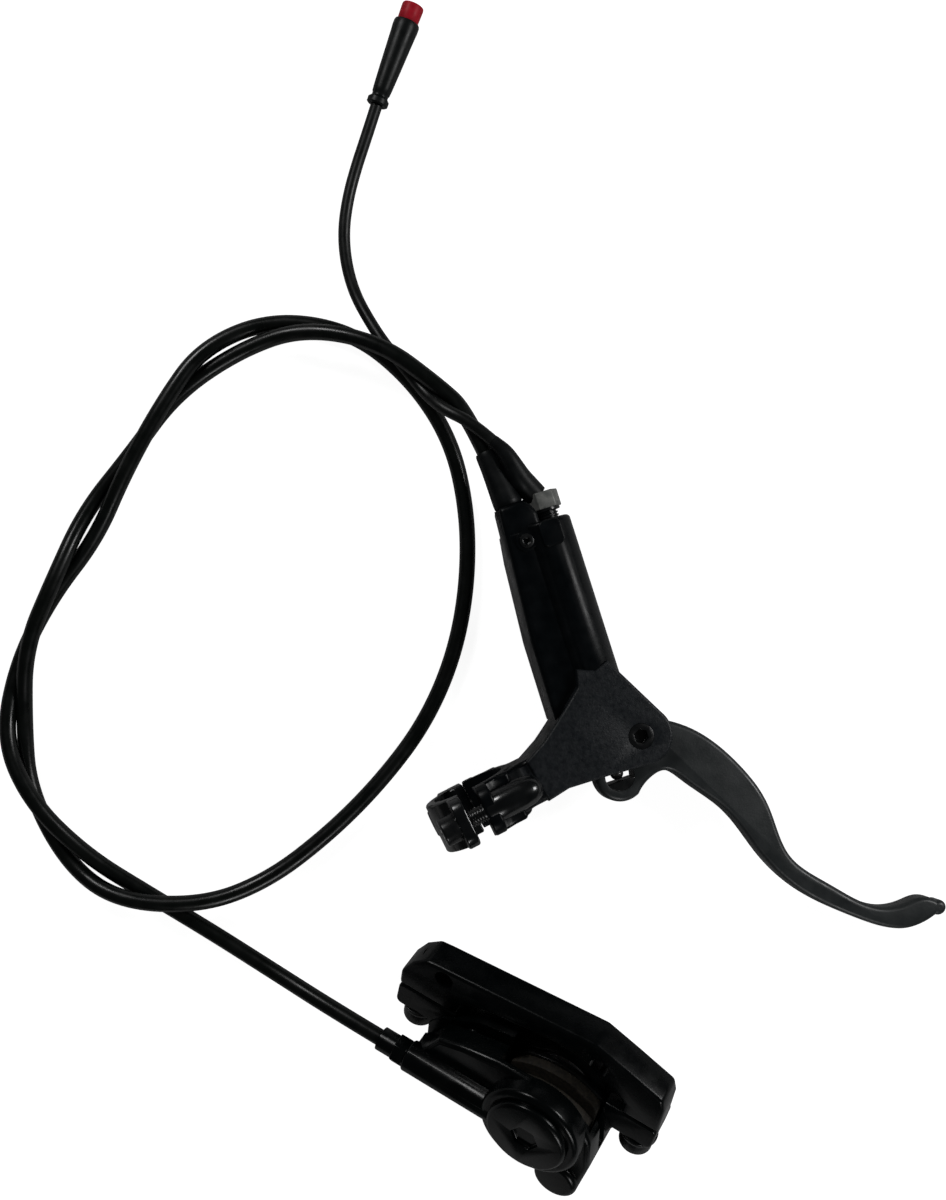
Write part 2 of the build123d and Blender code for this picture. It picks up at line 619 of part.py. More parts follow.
def caliper_body_outer():
    shell = round_rims(extrude(outer_outline(), OUTER_PLATE_T), CAL_EDGE_R, low=False)
    dome = round_rims(cylinder_dome(0, CAL_HALF_T), CAL_EDGE_R, low=False)
    boss = round_rims(right_boss(0, RIGHT_BOSS_TOP), CAL_EDGE_R, low=False)
    port = rod(HOSE_PORT_D / 2, CYL_X - HOSE_PORT_X, HOSE_PORT_X, HOSE_PORT_Y, HOSE_PORT_Z, (1, 0, 0))
    port = fillet(port.edges().sort_by(Axis.X)[0], 0.8)
    shell = shell + dome + port + boss
    shell = shell - disc_slot() - pad_pocket()
    bore_cut = rod(cal_piston_r + RUN_CLEARANCE, 20, CYL_X, CYL_Y, 0, (0, 0, 1))
    cap_cut = rod(CAP_D / 2, 10, CYL_X, CYL_Y, CAL_HALF_T + 2 - CAP_T, (0, 0, 1))
    shell = shell - bore_cut - cap_cut - seal_groove(1)
    for x, y in body_bolt_places():
        shell = shell - rod(BODY_BOLT_D / 2, 6.0, x, y, -0.5, (0, 0, 1))
    return shell


def inner_outline():
    line = Polyline((-27, -17.5), (-31.0, -14.0), (-31.5, -9.0), (-28.0, -3.5), (-23.2, -0.8), (-16.0, 4.0),
                    (-5.0, 6.5), (8.0, 6.8))
    shoulder = Spline((8.0, 6.8), (19.0, 3.6), (27.5, -5.5))
    right = Polyline((27.5, -5.5), (29.5, -16.0), (28.6, -27.0))
    boss = ThreePointArc((28.6, -27.0), (21.8, -33.4), (15.0, -28.0))
    under = Spline((15.0, -28.0), (2.0, -26.5), (-12.0, -22.5))
    close = Polyline((-12.0, -22.5), (-27, -17.5))
    return make_face(line + shoulder + right + boss + under + close)


def caliper_ear(side):
    # The lug that takes a post bolt, blended to the body by a sloping web
    end = post_x + (END_RIGHT if side > 0 else END_LEFT)
    outline = [(ear_inner_x - 4, -16), (ear_inner_x - 4, 0), (end, 0), (end, -EAR_T),
               (post_x - END_LEFT, -EAR_T), (ear_inner_x + 1, -13)]
    ear = plate([(side * x, y) for x, y in outline], POST_Z - EAR_HALF, POST_Z + EAR_HALF - 2)
    corners = ear.edges().filter_by(Axis.Z).sort_by(Axis.X)
    pair = corners[-2:] if side > 0 else corners[:2]
    return round_rims(fillet(pair, 2.0), 0.8)


def caliper_body_inner():
    shell = Pos(0, 0, -INNER_HALF_T) * extrude(inner_outline(), INNER_HALF_T)
    shell = fillet(shell.faces().sort_by(Axis.Z)[0].edges(), CAL_EDGE_R)
    dome = cylinder_dome(-CAL_HALF_T, 0)
    shell = shell + fillet(dome.faces().sort_by(Axis.Z)[0].edges(), CAL_EDGE_R)
    shell = shell + caliper_ear(1) + caliper_ear(-1)
    shell = shell - disc_slot() - pad_pocket()
    bore_cut = rod(cal_piston_r + RUN_CLEARANCE, 12.2, CYL_X, CYL_Y, -12.2, (0, 0, 1))
    shell = shell - bore_cut - seal_groove(-1)
    for x in (-post_x, post_x):
        shell = shell - rod(POST_BOLT_D / 2 + 0.3, 60, x, -40, POST_Z, (0, 1, 0))
    for x, y in body_bolt_places():
        shell = shell - rod(BODY_BOLT_D / 2, 40, x, y, -30, (0, 0, 1))
    shell = shell - rod(CAL_BLEED_D / 2, 3.0, CAL_BLEED_X, CAL_BLEED_Y, -INNER_HALF_T - 1, (0, 0, 1))
    return shell


def body_bolt(x, y):
    # From the inboard side, into blind threads of the outboard half
    under_head = -INNER_HALF_T
    shank = rod(BODY_BOLT_D / 2 - 0.02, INNER_HALF_T + 5.0, x, y, under_head, (0, 0, 1))
    head = rod(4.0, 3.0, x, y, under_head - 3.0, (0, 0, 1))
    head = fillet(head.edges().sort_by(Axis.Z)[0], 0.5)
    return shank + head - hex_bar(4.0, 1.8, x, y, under_head - 3.0, (0, 0, 1))


def bore_cap():
    top = CAL_HALF_T + 2
    cap = rod(CAP_D / 2 - 0.02, CAP_T, CYL_X, CYL_Y, top - CAP_T, (0, 0, 1))
    cap = chamfer(cap.edges().sort_by(Axis.Z)[-1], 0.8)
    return cap - hex_bar(CAP_RECESS_AF, CAP_RECESS + 1, CYL_X, CYL_Y, top - CAP_RECESS, (0, 0, 1))


def caliper_piston(side):
    start = plate_back
    piston = rod(cal_piston_r, CAL_PISTON_L, CYL_X, CYL_Y, start, (0, 0, 1))
    piston = piston - rod(cal_piston_r - 3, CAL_PISTON_CUP, CYL_X, CYL_Y, start, (0, 0, 1))
    return piston if side > 0 else mirror(piston, Plane.XY)


def pad_outline(grow):
    x0 = pad_x0 - grow
    x1 = pad_x1 + grow
    base = Polyline((x0 + 2, PAD_BOTTOM_Y), (x0, PAD_BOTTOM_Y + 5), (x0, PAD_TOP_Y - 5))
    top = ThreePointArc((x0, PAD_TOP_Y - 5), (CYL_X, PAD_TOP_Y), (x1, PAD_TOP_Y - 5))
    side = Polyline((x1, PAD_TOP_Y - 5), (x1, PAD_BOTTOM_Y + 5), (x1 - 2, PAD_BOTTOM_Y), (x0 + 2, PAD_BOTTOM_Y))
    return make_face(base + top + side)


def pad_lining(side):
    lining = Pos(0, 0, pad_half) * extrude(pad_outline(-0.8), PAD_LINING_T)
    return lining if side > 0 else mirror(lining, Plane.XY)


def pad_plate(side):
    back = Pos(0, 0, lining_back) * extrude(pad_outline(0), PAD_PLATE_T)
    return back if side > 0 else mirror(back, Plane.XY)


def hose_fitting():
    # The crimped ferrule between the hose and the caliper's port
    x = HOSE_PORT_X
    head = hex_bar(FITTING_AF, 4.0, x - 4.0, HOSE_PORT_Y, HOSE_PORT_Z, (1, 0, 0))
    ferrule = rod(3.6, FITTING_L - 4.0, x - FITTING_L, HOSE_PORT_Y, HOSE_PORT_Z, (1, 0, 0))
    return head + ferrule - rod(HOSE_D / 2, 4.0, x - FITTING_L - 1, HOSE_PORT_Y, HOSE_PORT_Z, (1, 0, 0))


def bracket_outline():
    # The bracket seen from outboard: two feet on the posts and an arched bridge
    top = Polyline((left_end, 0), (left_end - 0.3, 5.6), (left_end + 3.1, 11.2), (-37.2, 14.6), (-32.8, 15.0),
                   (17.5, 20.5), (28.3, 17.4), (right_end - 2.0, 13.5), (right_end - 0.6, 10.0), (right_end, 0))
    foot = Polyline((right_end, 0), (post_x - 6.7, 0), (post_x - 6.7, 4.1))
    arch = Spline((post_x - 6.7, 4.1), (24.0, 7.2), (14.0, 12.4), (0.0, 11.6), (-14.0, 9.4), (13.7 - post_x, 5.0),
                  (12.9 - post_x, 0))
    left = Polyline((12.9 - post_x, 0), (left_end, 0))
    return make_face(top + foot + arch + left)


def adapter_bracket():
    bracket = Pos(0, 0, POST_Z - BRACKET_T / 2) * extrude(bracket_outline(), BRACKET_T)
    faces = bracket.faces().sort_by(Axis.Z)
    bracket = chamfer(faces[-1].edges() + faces[0].edges(), BRACKET_CHAMFER)
    for x in (-post_x, post_x):
        bracket = bracket - rod(POST_BOLT_D / 2, 60, x, -5, POST_Z, (0, 1, 0))
    for x in (TAB_HOLE_LEFT, TAB_HOLE_LEFT + TAB_HOLE_SPACING):
        hole = rod(BRACKET_HOLE_D / 2, 60, x, TAB_HOLE_Y, POST_Z - 30, (0, 0, 1))
        bracket = bracket - hole
    return bracket


def post_washer(x):
    ring = rod(POST_HEAD_D / 2 + 0.6, WASHER_T, x, -EAR_T - WASHER_T, POST_Z, (0, 1, 0))
    return ring - rod(POST_BOLT_D / 2 + 0.2, 10, x, -EAR_T - 5, POST_Z, (0, 1, 0))


def post_bolt(x, end_y):
    # A cap screw from below whose end stands just under the bracket's far face
    head_y = -EAR_T - WASHER_T
    head = rod(POST_HEAD_D / 2, POST_HEAD_H, x, head_y - POST_HEAD_H, POST_Z, (0, 1, 0))
    head = fillet(head.edges().sort_by(Axis.Y)[0], 0.9)
    shank = rod(POST_BOLT_D / 2 - 0.02, end_y - head_y, x, head_y, POST_Z, (0, 1, 0))
    shank = chamfer(shank.edges().sort_by(Axis.Y)[-1], 0.6)
    key = hex_bar(5.0, 3.0, x, head_y - POST_HEAD_H, POST_Z, (0, 1, 0))
    return head + shank - key


def caliper_bleed_screw():
    top = -INNER_HALF_T
    screw = rod(CAL_BLEED_D / 2 - 0.02, 3.4, CAL_BLEED_X, CAL_BLEED_Y, top - 1.5, (0, 0, 1))
    return screw - hex_bar(2.5, 1.6, CAL_BLEED_X, CAL_BLEED_Y, top - 1.5, (0, 0, 1))


# Cords: straight runs joined by arcs that are as large as the runs allow

def corner_radii(points):
    radii = []
    for a, b, c in zip(points, points[1:], points[2:]):
        u = Vector(*b) - Vector(*a)
        v = Vector(*c) - Vector(*b)
        turn = math.radians(u.get_angle(v))
        radii.append(0.45 * min(u.length, v.length) / math.tan(turn / 2))
    return radii


def cord(points, diameter, name):
    radii = corner_radii(points)
    path = FilletPolyline(*points, radius=radii)
    start = path @ 0
    section = Plane(origin=start, z_dir=path % 0) * Circle(diameter / 2)
    tube = sweep(section, path=path)
    expected = math.pi * diameter ** 2 / 4 * path.length
    print(name, "length", round(path.length, 1), "volume ratio", round(tube.volume / expected, 4))
    print(name, "radii", [round(r) for r in radii])
    return tube


# Connector: red insert at the mouth, moulded body that tapers down to the cable

def plug_frame():
    tip = Vector(*CABLE_ROUTE[0])
    nxt = Vector(*CABLE_ROUTE[1])
    return tip, (tip - nxt).normalized()



def plug_plane():
    start, direction = plug_frame()
    level = Vector(direction.X, direction.Y, 0).normalized()
    return Plane(origin=tuple(start), z_dir=tuple(level))


def connector_shell():
    neck = PLUG_NECK_D / 2
    body = PLUG_D / 2
    profile = Polyline((0, 0), (neck - 0.5, 0), (neck, 0.8), (neck, 6.5), (body - 0.4, 18.5), (body, 19.0),
                       (body, PLUG_L), (0, PLUG_L), close=True)
    shape = revolve(make_face(Plane.XZ * profile), Axis.Z)
    shape = grooved(shape, neck, 0.4, 1.6, PLUG_RIB_PITCH, 3, Pos(0, 0, 0))
    shape = shape - Pos(0, 0, PLUG_L - INSERT_L) * Cylinder(INSERT_D / 2, INSERT_L + 1,
                                                            align=(Align.CENTER, Align.CENTER, Align.MIN))
    return plug_plane() * shape


def connector_insert():
    low = Pos(0, 0, PLUG_L - INSERT_L) * Cylinder(INSERT_D / 2, INSERT_L + INSERT_OUT,
                                                  align=(Align.CENTER, Align.CENTER, Align.MIN))
    top = PLUG_L + INSERT_OUT
    low = fillet(low.edges().sort_by(Axis.Z)[-1], 0.4)
    for x in (-1.2, 1.2):
        low = low - Pos(x, 0, top - 4) * Cylinder(PIN_D / 2, 8, align=(Align.CENTER, Align.CENTER, Align.MIN))
    keyway = Pos(0, INSERT_D / 2, top - 2) * Box(1.2, 1.0, 6)
    return plug_plane() * (low - keyway)


def connector_pins():
    top = PLUG_L + INSERT_OUT
    pins = [plug_plane() * Pos(x, 0, top - 4) * Cylinder(PIN_D / 2 - 0.02, 3.0,
                                                         align=(Align.CENTER, Align.CENTER, Align.MIN))
            for x in (-1.2, 1.2)]
    return Compound(children=pins)


def sensor_sleeve(root, root_dir):
    # The moulded sleeve narrows from the sensor to the cable
    a = Vector(*CABLE_ROUTE[-1])
    b = Vector(*CABLE_ROUTE[-2])
    points = [a] + [Vector(*p) for p in SLEEVE_MID] + [root]
    dirs = [a - b] + [q - p for p, q in zip(points, points[2:])] + [root_dir * -1]
    small = CABLE_D / 2 + 0.15
    big = SLEEVE_BIG_D / 2
    last = len(points) - 1
    radii = [small + (big - small) * i / last for i in range(last + 1)]
    faces = []
    for p, d, r in zip(points, dirs, radii):
        faces.append(Plane(origin=tuple(p), z_dir=d.normalized()) * Circle(r))
    return loft(faces)


# Placing

def lever_place(height):
    x, y = BAR_ON_TABLE
    bar = Pos(x, y, height) * Rot(0, 0, BAR_HEADING) * Rot(LEVER_TILT, 0, 0)
    return bar * CLAMP_TO_LEVER.inverse()


def caliper_place(height):
    x, y = CALIPER_ON_TABLE
    turn = Rot(0, 0, CALIPER_HEADING) * Rot(0, -CALIPER_PITCH, 0) * Rot(CALIPER_ROLL, 0, 0)
    return Pos(x, y, height) * turn * Pos(0, FIT_Y, FIT_Z)


def lowest(shapes):
    return min(s.bounding_box().min.Z for s in shapes)


def lever_pieces():
    pair = lambda f, places: Compound(children=[f(*p) for p in places])
    return {
        "master_cylinder_body": master_cylinder_body(),
        "clamp_cap": CLAMP_TO_LEVER * clamp_cap(),
        "clamp_bolts": CLAMP_TO_LEVER * pair(clamp_bolt, [(-LUG_BOLT_Z,), (LUG_BOLT_Z,)]),
        "lever_blade": lever_blade(),
        "pivot_bolt": pivot_bolt(),
        "pivot_bushes": pair(pivot_bush, [(-1,), (1,)]),
        "adjuster_barrel": adjuster_barrel(),
        "push_rod": push_rod(),
        "master_piston": master_piston(),
        "piston_cups": pair(cup_seal, [(PISTON_X + 4.0,), (PISTON_X + PISTON_L - 7.2,)]),
        "stop_washer": stop_washer(),
        "dust_boot": dust_boot(),
        "reservoir_lid": reservoir_lid(),
        "reservoir_diaphragm": diaphragm(),
        "lid_screws": pair(lid_screw, lid_screw_places()),
        "lever_bleed_screw": lever_bleed_screw(),
        "sensor_body": sensor_body(),
        "compression_nut": compression_nut(),
        "hose_boot": hose_boot(),
    }


def caliper_pieces():
    pair = lambda f, places: Compound(children=[f(*p) for p in places])
    return {
        "caliper_body_outer": caliper_body_outer(),
        "caliper_body_inner": caliper_body_inner(),
        "caliper_body_bolts": pair(body_bolt, body_bolt_places()),
        "bore_cap": bore_cap(),
        "outer_piston": caliper_piston(1),
        "inner_piston": caliper_piston(-1),
        "caliper_seals": pair(piston_seal, [(-1,), (1,)]),
        "outer_pad_plate": pad_plate(1),
        "inner_pad_plate": pad_plate(-1),
        "outer_pad_lining": pad_lining(1),
        "inner_pad_lining": pad_lining(-1),
        "caliper_hose_fitting": hose_fitting(),
        "adapter_bracket": adapter_bracket(),
        "mount_bolts": pair(post_bolt, [(-post_x, 12.2), (post_x, 12.9)]),
        "mount_washers": pair(post_washer, [(-post_x,), (post_x,)]),
        "caliper_bleed_screw": caliper_bleed_screw(),
    }


def build():
    lever = lever_pieces()
    flat = lever_place(0)
    lever_height = -lowest([flat * s for s in lever.values()])
    place = lever_place(lever_height)
    nodes = {name: place * s for name, s in lever.items()}

    caliper = caliper_pieces()
    flat = caliper_place(0)
    caliper_height = -lowest([flat * s for s in caliper.values()])
    seat = caliper_place(caliper_height)
    nodes.update({name: seat * s for name, s in caliper.items()})

    boot_tip = place * PORT_FRAME * Pos(BOOT_L - 4, 0, 0)
    fitting = seat * Pos(HOSE_PORT_X - FITTING_L + 2, HOSE_PORT_Y, HOSE_PORT_Z)
    hose_points = [tuple(boot_tip.position)] + HOSE_ROUTE + [tuple(fitting.position)]
    nodes["hydraulic_hose"] = cord(hose_points, HOSE_D, "hose")

    nodes["sensor_cable"] = cord(CABLE_ROUTE, CABLE_D, "cable")
    root = place * Pos(SENSOR_HEX_X + SENSOR_HEX_T, SENSOR_Y, 0)
    root_dir = (place * Pos(1, 0, 0)).position - place.position
    nodes["sensor_sleeve"] = sensor_sleeve(root.position, root_dir)
    nodes["connector_shell"] = connector_shell()
    nodes["connector_insert"] = connector_insert()
    nodes["connector_pins"] = connector_pins()
    marks = {
        "lever": place,
        "caliper": seat,
        "hose": hose_points,
        "lever_height": lever_height,
        "caliper_height": caliper_height,
    }
    return nodes, marks


CORDS = ["hydraulic_hose", "sensor_cable", "sensor_sleeve", "connector_shell", "connector_insert", "connector_pins"]


def shifted(nodes):
    # The origin goes to the bottom centre of everything but the cords
    boxes = [s.bounding_box() for name, s in nodes.items() if name not in CORDS]
    x = (min(b.min.X for b in boxes) + max(b.max.X for b in boxes)) / 2
    y = (min(b.min.Y for b in boxes) + max(b.max.Y for b in boxes)) / 2
    z = min(b.min.Z for b in boxes)
    move = Pos(-x, -y, -z)
    return {name: move * s for name, s in nodes.items()}, move


def main():
    os.makedirs("parts", exist_ok=True)
    nodes, marks = build()
    nodes, move = shifted(nodes)
    for name, shape in nodes.items():
        export_step(shape, "parts/" + name + ".step")
    print("move", move.position)
    print("heights", marks["lever_height"], marks["caliper_height"])
    print("lever place", (move * marks["lever"]).position, (move * marks["lever"]).orientation)
    print("caliper place", (move * marks["caliper"]).position, (move * marks["caliper"]).orientation)


main()
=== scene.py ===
import json
import math

import bpy
from mathutils import Matrix, Vector

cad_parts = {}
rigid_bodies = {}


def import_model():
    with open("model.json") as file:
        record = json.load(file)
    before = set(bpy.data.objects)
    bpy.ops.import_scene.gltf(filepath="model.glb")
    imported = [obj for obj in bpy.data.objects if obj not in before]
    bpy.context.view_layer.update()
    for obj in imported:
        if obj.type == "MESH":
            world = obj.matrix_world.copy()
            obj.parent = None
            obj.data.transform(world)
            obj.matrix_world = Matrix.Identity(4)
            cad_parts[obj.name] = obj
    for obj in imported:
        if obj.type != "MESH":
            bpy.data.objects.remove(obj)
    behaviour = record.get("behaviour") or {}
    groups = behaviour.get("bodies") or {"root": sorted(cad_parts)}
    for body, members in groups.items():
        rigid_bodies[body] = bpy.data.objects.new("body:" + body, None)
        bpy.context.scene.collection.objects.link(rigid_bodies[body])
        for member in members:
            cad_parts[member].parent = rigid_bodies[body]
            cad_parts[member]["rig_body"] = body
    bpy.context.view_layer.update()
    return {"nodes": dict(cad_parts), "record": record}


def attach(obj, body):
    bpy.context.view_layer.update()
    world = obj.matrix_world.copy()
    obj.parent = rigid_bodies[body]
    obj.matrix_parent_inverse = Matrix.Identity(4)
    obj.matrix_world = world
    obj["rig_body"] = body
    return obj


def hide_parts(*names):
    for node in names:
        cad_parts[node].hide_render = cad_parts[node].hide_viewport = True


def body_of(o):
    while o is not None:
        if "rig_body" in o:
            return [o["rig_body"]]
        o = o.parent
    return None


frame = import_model()

# The camera stands straight above the table, as far up as the one that took the
# picture, with the top of the frame towards +Y.
CAMERA_PLACE = (-0.05750, 0.06441, 0.450)
CAMERA_LENS = 55.24
CAMERA_SENSOR = 36.0
lens = bpy.data.cameras.new("camera")
lens.sensor_fit = "HORIZONTAL"
lens.sensor_width = CAMERA_SENSOR
lens.lens = CAMERA_LENS
camera = bpy.data.objects.new("camera", lens)
camera.location = CAMERA_PLACE
bpy.context.scene.collection.objects.link(camera)
bpy.context.scene.camera = camera


# The hydraulic hose: black nylon over braid, 5 mm thick, one piece from the boot at the
# lever to the fitting at the caliper. It is laid on the table in one and a half loops.
HOSE_R = 0.0025
HOSE_ROUTE = [
    (-0.05221, 0.10523, 0.0137), (-0.05960, 0.12120, 0.0128), (-0.06730, 0.12860, 0.0119),
    (-0.08560, 0.14221, 0.0130), (-0.10940, 0.14730, 0.0083), (-0.12940, 0.14110, 0.0041),
    (-0.14930, 0.12800, 0.0025), (-0.16280, 0.10941, 0.0026), (-0.17720, 0.09161, 0.0025),
    (-0.18450, 0.07121, 0.0095), (-0.19380, 0.04991, 0.0087), (-0.19580, 0.02691, 0.0027),
    (-0.19440, 0.00580, 0.0026), (-0.18250, -0.01690, 0.0025), (-0.16530, -0.02730, 0.0087),
    (-0.14010, -0.02890, 0.0068), (-0.12060, -0.02199, 0.0029), (-0.10180, -0.00759, 0.0025),
    (-0.08580, 0.00851, 0.0025), (-0.07230, 0.02641, 0.0025), (-0.06340, 0.04681, 0.0025),
    (-0.05920, 0.06881, 0.0025), (-0.05920, 0.09161, 0.0025), (-0.06420, 0.11381, 0.0025),
    (-0.07680, 0.13291, 0.0025), (-0.09510, 0.14740, 0.0025), (-0.11960, 0.15110, 0.0025),
    (-0.14040, 0.14160, 0.0060), (-0.15180, 0.12430, 0.0089), (-0.16360, 0.10331, 0.0082),
    (-0.17350, 0.08361, 0.0025), (-0.18740, 0.06561, 0.0026), (-0.19790, 0.04531, 0.0025),
    (-0.20140, 0.02201, 0.0057), (-0.19180, 0.00300, 0.0094), (-0.17610, -0.01400, 0.0050),
    (-0.15740, -0.02629, 0.0025), (-0.13790, -0.03799, 0.0025), (-0.11850, -0.04949, 0.0049),
    (-0.09940, -0.05889, 0.0131), (-0.08320, -0.06694, 0.0180),
]


def cord_curve(name, route, radius, swell=()):
    # A smooth line whose control points are the route's points, thicker or thinner where
    # the swell gives a share of the radius
    data = bpy.data.curves.new(name, "CURVE")
    data.dimensions = "3D"
    spline = data.splines.new("NURBS")
    spline.points.add(len(route) - 1)
    for point, place in zip(spline.points, route):
        point.co = (*place, 1.0)
    for point, share in zip(spline.points, swell):
        point.radius = share
    spline.order_u = 3
    spline.use_endpoint_u = True
    spline.resolution_u = 12
    data.bevel_depth = radius
    data.bevel_resolution = 6
    data.use_fill_caps = True
    made = bpy.data.objects.new(name, data)
    bpy.context.scene.collection.objects.link(made)
    return made


def finish(name, dark, light, gloss, patch, grain, depth, metallic=0.0, shine=0.5):
    # A surface whose colour wanders from dark to light in patches, whose roughness wanders
    # between the two gloss values in rather larger ones, and whose fine grain stands up by
    # the depth in metres
    material = bpy.data.materials.new(name)
    material.use_nodes = True
    nodes = material.node_tree.nodes
    links = material.node_tree.links
    shader = nodes["Principled BSDF"]
    shader.inputs["Metallic"].default_value = metallic
    shader.inputs["Specular IOR Level"].default_value = shine
    place = nodes.new("ShaderNodeTexCoord")

    def wander(scale, detail):
        noise = nodes.new("ShaderNodeTexNoise")
        noise.inputs["Scale"].default_value = scale
        noise.inputs["Detail"].default_value = detail
        links.new(place.outputs["Object"], noise.inputs["Vector"])
        return noise.outputs["Fac"]

    ramp = nodes.new("ShaderNodeValToRGB")
    ramp.color_ramp.elements[0].position = 0.36
    ramp.color_ramp.elements[1].position = 0.66
    ramp.color_ramp.elements[0].color = (*dark, 1.0)
    ramp.color_ramp.elements[1].color = (*light, 1.0)
    links.new(wander(patch, detail=4.0), ramp.inputs["Fac"])
    links.new(ramp.outputs["Color"], shader.inputs["Base Color"])
    span = nodes.new("ShaderNodeMapRange")
    span.inputs["From Min"].default_value = 0.3
    span.inputs["From Max"].default_value = 0.7
    span.inputs["To Min"].default_value = gloss[0]
    span.inputs["To Max"].default_value = gloss[1]
    links.new(wander(0.7 * patch, detail=3.0), span.inputs["Value"])
    links.new(span.outputs["Result"], shader.inputs["Roughness"])
    relief = nodes.new("ShaderNodeBump")
    relief.inputs["Strength"].default_value = 0.6
    relief.inputs["Distance"].default_value = depth
    links.new(wander(grain, detail=3.0), relief.inputs["Height"])
    links.new(relief.outputs["Normal"], shader.inputs["Normal"])
    return material


def fit_out(piece, body, slot, material, *nodes):
    # The finish of a piece, the body that carries it and the solids that it stands for
    piece.data.materials.clear()
    piece.data.materials.append(material)
    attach(piece, body)
    if nodes:
        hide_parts(*nodes)


hose_black = finish("hose_black", dark=(0.0016, 0.0026, 0.0022), light=(0.0036, 0.0048, 0.0042),
                    gloss=(0.22, 0.36), patch=260.0, grain=900.0, depth=0.00003, shine=0.4)
hose = cord_curve("hose", HOSE_ROUTE, HOSE_R)
fit_out(hose, "brake", "hose_black", hose_black, "hydraulic_hose")


# The sleeve moulded over the cable's end where it leaves the sensor: soft black rubber that
# leans against the hose boot and narrows to the cable.
SLEEVE_R = 0.0030
SLEEVE_ROUTE = [
    (-0.03860, 0.09580, 0.0125), (-0.04090, 0.09820, 0.0132), (-0.04340, 0.10100, 0.0150),
    (-0.04570, 0.10490, 0.0165), (-0.04780, 0.10840, 0.0171), (-0.05030, 0.11071, 0.0172),
    (-0.05170, 0.11180, 0.0173),
]
SLEEVE_SWELL = (1.24, 1.24, 1.16, 1.0, 0.84, 0.72, 0.68)


def activate(piece):
    # The one piece that the next operator acts on
    bpy.ops.object.select_all(action="DESELECT")
    piece.select_set(True)
    bpy.context.view_layer.objects.active = piece


soft_rubber = finish("soft_rubber", dark=(0.0024, 0.0032, 0.0036), light=(0.0050, 0.0060, 0.0066),
                     gloss=(0.36, 0.52), patch=350.0, grain=1100.0, depth=0.00004, shine=0.22)
sleeve = cord_curve("sleeve", SLEEVE_ROUTE, SLEEVE_R, SLEEVE_SWELL)
activate(sleeve)
bpy.ops.object.convert(target="MESH")
bpy.ops.object.shade_smooth_by_angle(angle=math.radians(40.0))
fit_out(sleeve, "brake", "black_rubber", soft_rubber, "sensor_sleeve")


# The connector at the cable's end: a black moulded body that tapers from its mouth to a
# ribbed neck, a red keyed insert pressed into the mouth and two gilt pins in the insert.
# The profiles are pairs of radius and height in millimetres.
PLUG_START = Vector((-0.08710, 0.21646, 0.0041))
PLUG_HEADING = Vector((0.3480, 0.9375, 0.0)).normalized()
SHELL_PROFILE = [
    (0.0, 0.0), (2.9, 0.0), (3.35, 0.35), (3.35, 1.7), (2.95, 2.1), (2.55, 2.6), (2.55, 3.3),
    (2.8, 3.8), (2.95, 5.2), (3.35, 12.0), (3.7, 19.0), (3.95, 23.5), (4.05, 24.6), (4.05, 26.4),
    (3.85, 26.9), (3.5, 27.0), (3.35, 26.4), (3.35, 22.0), (0.0, 22.0),
]
INSERT_PROFILE = [
    (0.0, 22.2), (3.2, 22.2), (3.2, 27.4), (3.3, 27.6), (3.45, 31.9), (3.3, 32.4), (2.6, 32.6),
    (2.45, 32.4), (2.45, 29.4), (0.0, 29.4),
]
PIN_PROFILE = [(0.0, 29.0), (0.48, 29.0), (0.48, 31.4), (0.288, 31.8), (0.0, 31.8)]
PIN_PLACES = (-1.2, 1.2)
PIN_STEPS = 16


def axes(origin, x_axis, z_axis):
    # The frame of a piece that is drawn in millimetres
    x = Vector(x_axis).normalized()
    z = Vector(z_axis).normalized()
    facing = Matrix((x, z.cross(x), z)).transposed().to_4x4()
    return Matrix.Translation(origin) @ facing @ Matrix.Scale(0.001, 4)


def turned(name, profile, place, steps=48):
    # A profile of (radius, height) pairs turned about the frame's Z axis
    mesh = bpy.data.meshes.new(name)
    edges = [(i, i + 1) for i in range(len(profile) - 1)]
    mesh.from_pydata([(radius, 0.0, height) for radius, height in profile], edges, [])
    piece = bpy.data.objects.new(name, mesh)
    bpy.context.scene.collection.objects.link(piece)
    activate(piece)
    bpy.ops.object.mode_set(mode="EDIT")
    bpy.ops.mesh.select_all(action="SELECT")
    bpy.ops.mesh.spin(steps=steps, angle=2 * math.pi, center=(0, 0, 0), axis=(0, 0, 1))
    bpy.ops.mesh.select_all(action="SELECT")
    bpy.ops.mesh.remove_doubles(threshold=0.001)
    bpy.ops.mesh.normals_make_consistent(inside=False)
    bpy.ops.object.mode_set(mode="OBJECT")
    piece.data.transform(place)
    bpy.ops.object.shade_smooth_by_angle(angle=math.radians(35.0))
    return piece


plug = axes(PLUG_START, (0, 0, 1), PLUG_HEADING)
shell_black = finish("shell_black", dark=(0.0032, 0.0044, 0.0044), light=(0.0055, 0.0070, 0.0070),
                     gloss=(0.32, 0.46), patch=420.0, grain=1000.0, depth=0.00003, shine=0.25)
shell = turned("connector_body", SHELL_PROFILE, plug)
fit_out(shell, "brake", "black_plastic", shell_black, "connector_shell")
insert_red = finish("insert_red", dark=(0.40, 0.010, 0.022), light=(0.52, 0.016, 0.032),
                    gloss=(0.36, 0.48), patch=500.0, grain=800.0, depth=0.00002, shine=0.12)
insert = turned("connector_mouth", INSERT_PROFILE, plug)
fit_out(insert, "brake", "red_plastic", insert_red, "connector_insert")
pin_gold = finish("pin_gold", dark=(0.5, 0.34, 0.12), light=(0.65, 0.46, 0.18),
                  gloss=(0.2, 0.32), patch=700.0, grain=900.0, depth=0.00001, metallic=1.0)
